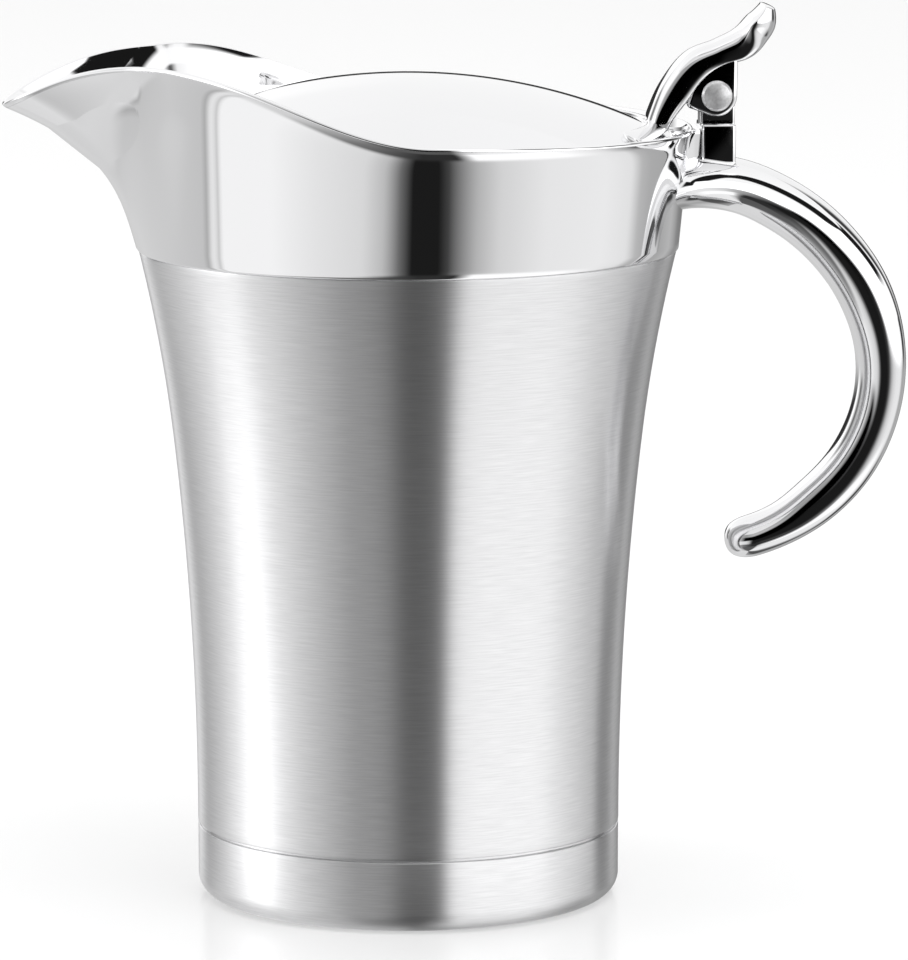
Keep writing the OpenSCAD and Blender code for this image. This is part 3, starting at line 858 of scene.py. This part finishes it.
@dataclass
class Hinge:
    """Post on the handle, cast thumb lever on the lid, and the pin through both."""

    lid: Lid
    x: float = 61.1
    z: float = 161.1
    pin_r: float = 2.0
    head_r: float = 3.05
    ear: float = 2.4
    width: float = 12.2
    ear_r: float = 4.1
    ear_edge: float = 0.7
    rest_start: float = 4.6
    rest_run: float = 1.1
    rest_belly: float = 0.62
    tip_round: float = 0.5
    sink: float = 0.2
    tongue_r: float = 3.4
    side_play: float = 0.3
    post_x: tuple[float, float] = (58.2, 65.0)
    post_z: tuple[float, float] = (147.0, 155.5)
    post_half: float = 6.0
    post_edge: float = 0.6
    shoulder: float = 154.5
    web_end: float = 58.6
    skirt_r: float = 0.75
    skirt_z: float = 148.12
    skirt_fall: float = 0.15
    pad_inset: float = 2.8
    pad_half: float = 2.6
    pad_rise: float = 1.2
    pad_reach: float = 30.0
    head: float = 0.3
    head_rise: float = 0.35
    chamfer: float = 0.45

    def line(self) -> list[list[float]]:
        """Stations along the lever: place, height, half thickness and half width."""
        return [
            [48.2, 151.2, 2.0, 7.0],
            [50.2, 156.8, 2.4, 6.8],
            [53.05, 161.7, 3.0, 6.5],
            [57.1, 166.75, 3.0, 6.4],
            [62.05, 169.25, 2.6, 6.2],
            [67.0, 171.4, 3.0, 6.5],
            [70.4, 174.9, 2.9, 7.0],
            [71.8, 178.22, 1.5, 5.6],
        ]

    def bar(self) -> Skin:
        """Bar from the lid to the thumb rest, with a crowned top and upright sides.

        From rest_start the sides turn under as a half ellipse, for the thumb rest. Beyond the last station
        the section shrinks by cos u, tip_round sin u further on. What would lie deeper in the dome than
        sink is moved out to that depth.
        """
        last = len(self.line()) - 1
        f = np.linspace(0, last - 1e-6, 16 * last + 1)
        row = along(self.line(), f)
        slope = along(self.line(), f + 0.02) - along(self.line(), f - 0.02)
        d = unit(slope[:, :2])
        n = np.stack([-d[:, 1], d[:, 0]], -1)
        u = np.radians(np.linspace(0, 88, 8))[1:]
        size = np.concatenate([np.ones(len(f)), np.cos(u)])
        past = np.concatenate([np.zeros(len(f)), self.tip_round * np.sin(u)])
        pick = np.concatenate([np.arange(len(f)), np.full(len(u), len(f) - 1)])
        keep = row[pick]
        centre = keep[:, :2] + d[pick] * past[:, None]
        rest = ease((np.concatenate([f, 0 * u + last]) - self.rest_start) / self.rest_run)
        crown, side, shift = mix(3.0, 2.2, rest), mix(7.0, 2.0, rest), self.rest_belly * rest
        p = sections(centre, n[pick], keep[:, 2] * size, keep[:, 3] * size, crown, side, 128, shift)
        centre_z = np.array([0, 0, self.lid.top - self.lid.dome])
        off = p - centre_z
        far = np.linalg.norm(off, axis=-1)[..., None]
        least = self.lid.dome - self.sink
        return Skin.grid(np.where(far < least, centre_z + off * least / far, p), caps=True)

    def ears(self) -> Skin:
        """The two ears that hold the pin: a round end under the bar, with rounded edges."""
        x, z, r = self.x, self.z, self.ear_r
        start = math.degrees(math.atan2(-3.82, -1.5))
        outline = np.concatenate([
            [[55, 158.9]],
            arc((x, z), r, start, 0, 14),
            [[x + r + 0.1, 169], [60.5, 167.4], [56.4, 163.2]],
        ])
        outline = soften(outline, 0.9)
        half, near, edge = self.width / 2, self.width / 2 - self.ear, self.ear_edge
        return plate(outline, near, half, edge) + plate(outline, -half, -near, edge)

    def foot(self) -> Skin:
        """Crescent pad on the dome.

        Along the arc of the lid's edge its half width is pad_half, closing as a half circle past pad_reach.
        Its height over the dome is pad_rise |sin v|^0.6 across it.
        """
        mid, half = self.lid.radius - self.pad_inset, self.pad_half
        bend = math.radians(self.pad_reach)
        a = (bend + half / mid) * np.sin(np.linspace(-1, 1, 73) * np.pi / 2)
        over = np.maximum(np.abs(a) - bend, 0) * mid / half
        w = np.sqrt(np.maximum(1 - over**2, 1e-6))
        v = np.linspace(0, 2 * np.pi, 32, endpoint=False)
        r = mid + half * w[:, None] * np.cos(v)
        h = np.where(np.sin(v) > 0, self.pad_rise * np.abs(np.sin(v)) ** 0.6, -0.3)
        h = h * np.minimum(w[:, None] * 1.6, 1)
        c = self.lid.top - self.lid.dome
        z = c + np.sqrt((self.lid.dome + h) ** 2 - r**2)
        return Skin.grid(np.stack([r * np.cos(a[:, None]), r * np.sin(a[:, None]), z], -1), caps=True)

    def post(self) -> Skin:
        """Post and, between the ears, its tongue round the pin, with the web and the skirt."""
        x, z, half = self.x, self.z, self.post_half
        (x0, x1), (z0, z1) = self.post_x, self.post_z
        corners = [[x0, z0], [x1, z0], [x1, z1], [x0, z1]]
        post = plate(soften(corners, self.post_edge), -half, half, self.post_edge)
        outline = np.concatenate([
            [[x0, self.shoulder], [x1, self.shoulder], [x1, z - 2]],
            arc((x, z), self.tongue_r, 0, 175, 20),
            [[x0, z - 1.6]],
        ])
        half = self.width / 2 - self.ear - self.side_play
        return post + plate(soften(outline, 0.5), -half, half, 0.4) + self.web() + self.skirt()

    def web(self) -> Skin:
        """Web between post and collar, which narrows towards the post and widens upwards.

        Each row is a level outline from x0(z) at the collar to web_end in the post. Its half width is made
        of two straight lines along X, with 0.1 more for each millimetre of height, and draws in at the top.
        """
        z = np.array([147.0, 149, 150.5, 151.6, 152.6, 153.4, 154.0, 154.4, 154.55])
        x0 = np.interp(z, [147, 150, 152.2, 153.6, 154.6], [55.27, 55.45, 56.05, 56.8, 57.6])
        draw = np.interp(z, [153.9, 154.55], [0, 0.35])
        x = x0[:, None] + (self.web_end - x0[:, None]) * np.linspace(0, 1, 12)
        y = np.interp(x, [55.2, 56.8, 58.4], [5.9, 5.2, 4.7]) + 0.1 * (z[:, None] - 150) - draw[:, None]
        near = np.stack([x, -y, z[:, None] + 0 * x], -1)
        far = np.stack([x, y, z[:, None] + 0 * x], -1)[:, ::-1]
        return Skin.grid(np.concatenate([near, far], 1), caps=True)

    def skirt(self) -> Skin:
        """Hollow fillet round the foot of the post: out by 1 - cos t and down by sin t, times its radius.

        Its foot falls by skirt_fall for each millimetre along X, as the handle does. Below it a core goes
        on down into the handle.
        """
        (x0, x1), half, inset = self.post_x, self.post_half, 0.7
        t = np.radians(np.linspace(0, 90, 9))
        foot = soften([[x0, -half], [x1, -half], [x1, half], [x0, half]], self.post_edge)
        core = np.clip(foot, [x0 + inset, inset - half], [x1 - inset, half - inset])
        level = foot[None] + self.skirt_r * (1 - np.cos(t))[:, None, None] * unit(foot - core)[None]
        z = self.skirt_z - self.skirt_fall * (foot[:, 0] - x0) + self.skirt_r * (1 - np.sin(t))[:, None]
        rows = np.concatenate([level, z[..., None]], -1)
        down = np.concatenate([core - np.array([0.1, 0]), z[-1:].T - 1.6], -1)[None]
        under = np.concatenate([core, z[-1:].T], -1)[None]
        return Skin.grid(np.concatenate([rows, under, down]), caps=True)

    def pin(self) -> Skin:
        """Pin along Y with two low domed heads, each with a chamfer round its face."""
        half, rise, head = self.width / 2, self.head_rise, self.head
        r, face = self.head_r - self.chamfer, half + head + self.chamfer
        ball = (r * r + rise * rise) / (2 * rise)
        t = np.linspace(0, math.asin(r / ball), 14)
        cap = np.stack([ball * np.sin(t), face + rise - ball * (1 - np.cos(t))], -1)
        rest = [[self.head_r, half + head], [self.head_r, half], [self.pin_r, half]]
        side = soften(np.concatenate([cap, rest]), 0.15, closed=False)
        profile = np.concatenate([side, side[::-1] * [1, -1]])
        skin = revolve(profile, 64, closed=False)
        x, y, z = skin.points.T
        return Skin(np.stack([self.x + x, z, self.z + y], -1), skin.faces)

    def build(self, shop: Workshop) -> None:
        """Places lever, post and pin, and dresses the hidden screws."""
        lever = self.bar() + self.ears() + self.foot()
        shop.place(lever, "thumb_lever", CASTING, "lid", "lid_lever", "polished_casting")
        shop.place(self.post(), "lid_post", CASTING, "vessel", "hinge_post", "polished_casting")
        shop.place(self.pin(), "lid_pin", PIN, "lid", "hinge_pin", "satin_pin")
        shop.keep("lever_screws", HARDWARE)


@dataclass
class Studio:
    """Pale floor, white background, soft light with the dark cards that a metal needs, and the camera."""

    camera_at: tuple[float, float, float] = (-0.0662, -1.2625, 0.28274)
    aim: float = 3.42
    pitch: float = -8.95
    lens: float = 239.34
    facing: float = 3.0
    table_size: float = 4000.0
    table_glow: float = 0.4
    table_sheen: float = 0.14
    table_roughness: float = 0.12
    lamp_at: tuple[float, float, float] = (0.3, -0.3, 1.8)
    lamp_size: float = 1.6
    lamp_watts: float = 12.0
    # Heights, in degrees, over which one band of the room passes into the next
    limits: Sequence[tuple[float, float]] = (
        (-54, -49), (-35, -26), (-10, -4), (2.5, 4), (14, 22), (37, 38), (63, 64), (66, 82),
    )

    # Brightness round the object, by the angle from the camera, positive to the right, from the ground
    # up: the table under the object, close by and further off, the gap behind it, the walls, and the
    # ceiling, in which a dark card hangs. Boxes and roof are stretches that two bands share.
    under_table: Stops = (
        (-180, 0.75), (-100, 0.8), (-60, 0.6), (-40, 0.12), (22, 0.1), (30, 0.7), (40, 0.95), (100, 0.9),
        (122, 0.3), (138, 0.08), (165, 0.1), (180, 0.4),
    )
    near_table: Stops = (
        (-180, 0.75), (-125, 0.7), (-100, 0.72), (-85, 0.75), (-70, 0.7), (-55, 0.42), (-35, 0.2),
        (-10, 0.08), (4, 0.03), (22, 0.03), (26, 0.5), (30, 1.15), (75, 1.15), (100, 0.85), (115, 0.4),
        (121, 0.05), (136, 0.05), (147, 0.5), (162, 0.4), (180, 0.75),
    )
    far_table: Stops = (
        (-180, 0.62), (-150, 0.7), (-122, 0.66), (-97, 0.6), (-94, 0.45), (-91, 0.87), (-89, 0.87),
        (-87.5, 0.6), (-85, 1.0), (-60, 1.0), (-40, 0.86), (-20, 0.76), (-11, 0.55), (-4, 0.15),
        (1, 0.012), (13, 0.012), (17, 0.06), (22, 0.24), (29, 0.5), (39, 0.72), (60, 0.88), (90, 0.92),
        (106, 0.84), (113, 0.52), (120, 0.45), (134, 0.42), (146, 0.5), (158, 0.3), (166, 0.3), (180, 0.6),
    )
    boxes: Stops = (
        (-157, 1.4), (-148, 0.7), (-140, 0.1), (-130, 0.4), (-118, 0.9), (-104, 1.9), (-96, 3.1),
        (-85, 3.4), (-72, 1.5), (-60, 0.85), (-42, 0.35), (-28, 0.0), (17, 0.0), (20, 0.8), (23, 1.9),
        (80, 1.9), (100, 1.3),
    )
    gap: Stops = (
        (-180, 0.03), (-163, 0.03), *boxes,
        (118, 1.0), (123, 0.0), (138, 0.1), (147, 0.6), (160, 0.03), (180, 0.03),
    )
    walls: Stops = (
        (-180, 1.0), (-165, 1.2), *boxes,
        (124, 1.1), (128, 0.0), (138, 0.1), (147, 0.9), (160, 1.0), (180, 1.0),
    )
    roof: Stops = (
        (-180, 1.0), (-100, 1.2), (-80, 1.1), (-60, 0.45), (-30, 0.35), (0, 0.55), (18, 0.55), (26, 1.4),
    )
    low_ceiling: Stops = (
        *roof, (83, 1.4), (86, 0.01), (112, 0.01), (116, 1.0), (121, 1.0), (125, 0.05), (138, 0.05),
        (148, 1.0), (180, 1.0),
    )
    card: Stops = (
        (-180, 1.0), (-100, 1.1), (-70, 0.8), (0, 0.9), (62, 1.1), (65, 0.01), (97, 0.01), (100, 1.1),
        (180, 1.0),
    )
    ceiling: Stops = (*roof, (90, 1.4), (130, 0.9), (180, 1.0))
    zenith: Stops = ((-180, 1.05), (180, 1.05))

    def ramp(self, graph: Graph, turn: Node, stops: Stops) -> Node:
        """Colour ramp over the angle round the object, from -180 to 180 degrees."""
        node = graph.add("ValToRGB", {0: turn})
        band = node.color_ramp
        band.elements.remove(band.elements[1])
        for i, (angle, value) in enumerate(stops):
            place = angle / 360 + 0.5
            stop = band.elements[0] if i == 0 else band.elements.new(place)
            stop.position = place
            stop.color = (value, value, value, 1.0)
        return node

    def world(self) -> None:
        """World: white for the camera, and for all else the soft boxes and cards by direction."""
        world = bpy.data.worlds.new("studio")
        bpy.context.scene.world = world
        world.use_nodes = True
        graph = Graph(world.node_tree)
        ray = graph.add("TexCoord").outputs["Generated"]
        spin = graph.add("Mapping", {0: ray, 2: (0, 0, math.radians(self.facing))})
        xyz = graph.add("SeparateXYZ", {0: spin})
        front = graph.add("Math", {0: xyz.outputs[1], 1: -1.0}, operation="MULTIPLY")
        turn = graph.add("Math", {0: xyz.outputs[0], 1: front}, operation="ARCTAN2")
        share = graph.add("Math", {0: turn, 1: 1 / (2 * math.pi), 2: 0.5}, operation="MULTIPLY_ADD")
        table = (self.under_table, self.near_table, self.far_table)
        room = (self.gap, self.walls, self.low_ceiling, self.card, self.ceiling, self.zenith)
        bands = [self.ramp(graph, share, stops) for stops in table + room]
        light = bands[0]
        for band, (low, high) in zip(bands[1:], self.limits):
            span = {0: xyz.outputs[2], 1: math.sin(math.radians(low)), 2: math.sin(math.radians(high))}
            rise = graph.add("MapRange", span, interpolation_type="SMOOTHSTEP")
            light = graph.add("Mix", {0: rise, 6: light, 7: band}, data_type="RGBA").outputs[2]
        camera = graph.add("LightPath").outputs["Is Camera Ray"]
        white = graph.add("Background", {0: (1, 1, 1, 1), 1: 1.0})
        studio = graph.add("Background", {0: light, 1: 1.0})
        graph.add("OutputWorld", {0: graph.add("MixShader", {0: camera, 1: studio, 2: white})})

    def floor(self) -> None:
        """Pale floor, bright for the camera, so that only the object's shadow shows.

        It is clear for reflections, which meet the bands of the studio's own table instead.
        """
        far = self.table_size
        corners = np.array([[[-far, -far, 0], [far, -far, 0]], [[-far, far, 0], [far, far, 0]]])
        obj = Skin.grid(corners, close_v=False).build("table_top")
        material = bpy.data.materials.new("pale_paper_table")
        material.use_nodes = True
        graph = Graph(material.node_tree)
        path = graph.add("LightPath")
        camera, glossy = path.outputs["Is Camera Ray"], path.outputs["Is Glossy Ray"]
        paper = graph.add("BsdfDiffuse", {0: linear("#C8C8C8")})
        glow = graph.add("Emission", {0: (1, 1, 1, 1), 1: self.table_glow})
        matt = graph.add("AddShader", {0: paper, 1: glow})
        sheen = graph.add("BsdfGlossy", {"Color": (1, 1, 1, 1), "Roughness": self.table_roughness})
        lit = graph.add("MixShader", {0: self.table_sheen, 1: matt, 2: sheen})
        seen = graph.add("MixShader", {0: camera, 1: paper, 2: lit})
        clear = graph.add("BsdfTransparent")
        mixed = graph.add("MixShader", {0: glossy, 1: seen, 2: clear})
        graph.add("OutputMaterial", {0: mixed})
        obj.data.materials.append(material)
        obj.visible_shadow = False
        obj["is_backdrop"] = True

    def lamp(self) -> None:
        """One wide soft lamp from above, for the shadow on the floor."""
        light = bpy.data.lights.new("soft_box", "AREA")
        light.shape = "DISK"
        light.size = self.lamp_size
        light.energy = self.lamp_watts
        obj = bpy.data.objects.new("soft_box", light)
        obj.location = self.lamp_at
        obj.rotation_euler = Vector(self.lamp_at).to_track_quat("Z", "Y").to_euler()
        obj.visible_glossy = False
        bpy.context.scene.collection.objects.link(obj)

    def camera(self) -> None:
        """Camera at the photograph's place; the long side of the picture is the sensor's 36 mm."""
        data = bpy.data.cameras.new("camera")
        data.sensor_width = 36.0
        data.lens = self.lens
        data.clip_end = 20.0
        obj = bpy.data.objects.new("camera", data)
        a, p = math.radians(self.aim), math.radians(self.pitch)
        forward = Vector((math.sin(a) * math.cos(p), math.cos(a) * math.cos(p), math.sin(p)))
        obj.location = self.camera_at
        obj.rotation_euler = forward.to_track_quat("-Z", "Y").to_euler()
        bpy.context.scene.collection.objects.link(obj)
        bpy.context.scene.camera = obj

    def build(self) -> None:
        """Sets up the studio."""
        bpy.context.scene.view_settings.view_transform = "Standard"
        self.world()
        self.floor()
        self.lamp()
        self.camera()


def plain(value: object) -> object:
    """Bounds as nested lists of plain numbers, fit for a JSON file."""
    if isinstance(value, dict):
        return {key: plain(part) for key, part in value.items()}
    if isinstance(value, (int, float, str)) or value is None:
        return value
    return [plain(part) for part in value]


def main() -> None:
    """Loads the frame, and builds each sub-assembly and the studio."""
    logging.basicConfig(level=logging.INFO, format="%(message)s")
    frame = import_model()
    sizes = {"frame": plain(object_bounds())}
    shop = Workshop(frame)
    collar = Collar()
    lid = Lid()
    for part in (Body(), collar, Handle(collar), lid, Hinge(lid)):
        part.build(shop)
    Studio().build()
    sizes["dressed"] = plain(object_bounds())


if __name__ == "__main__":
    main()
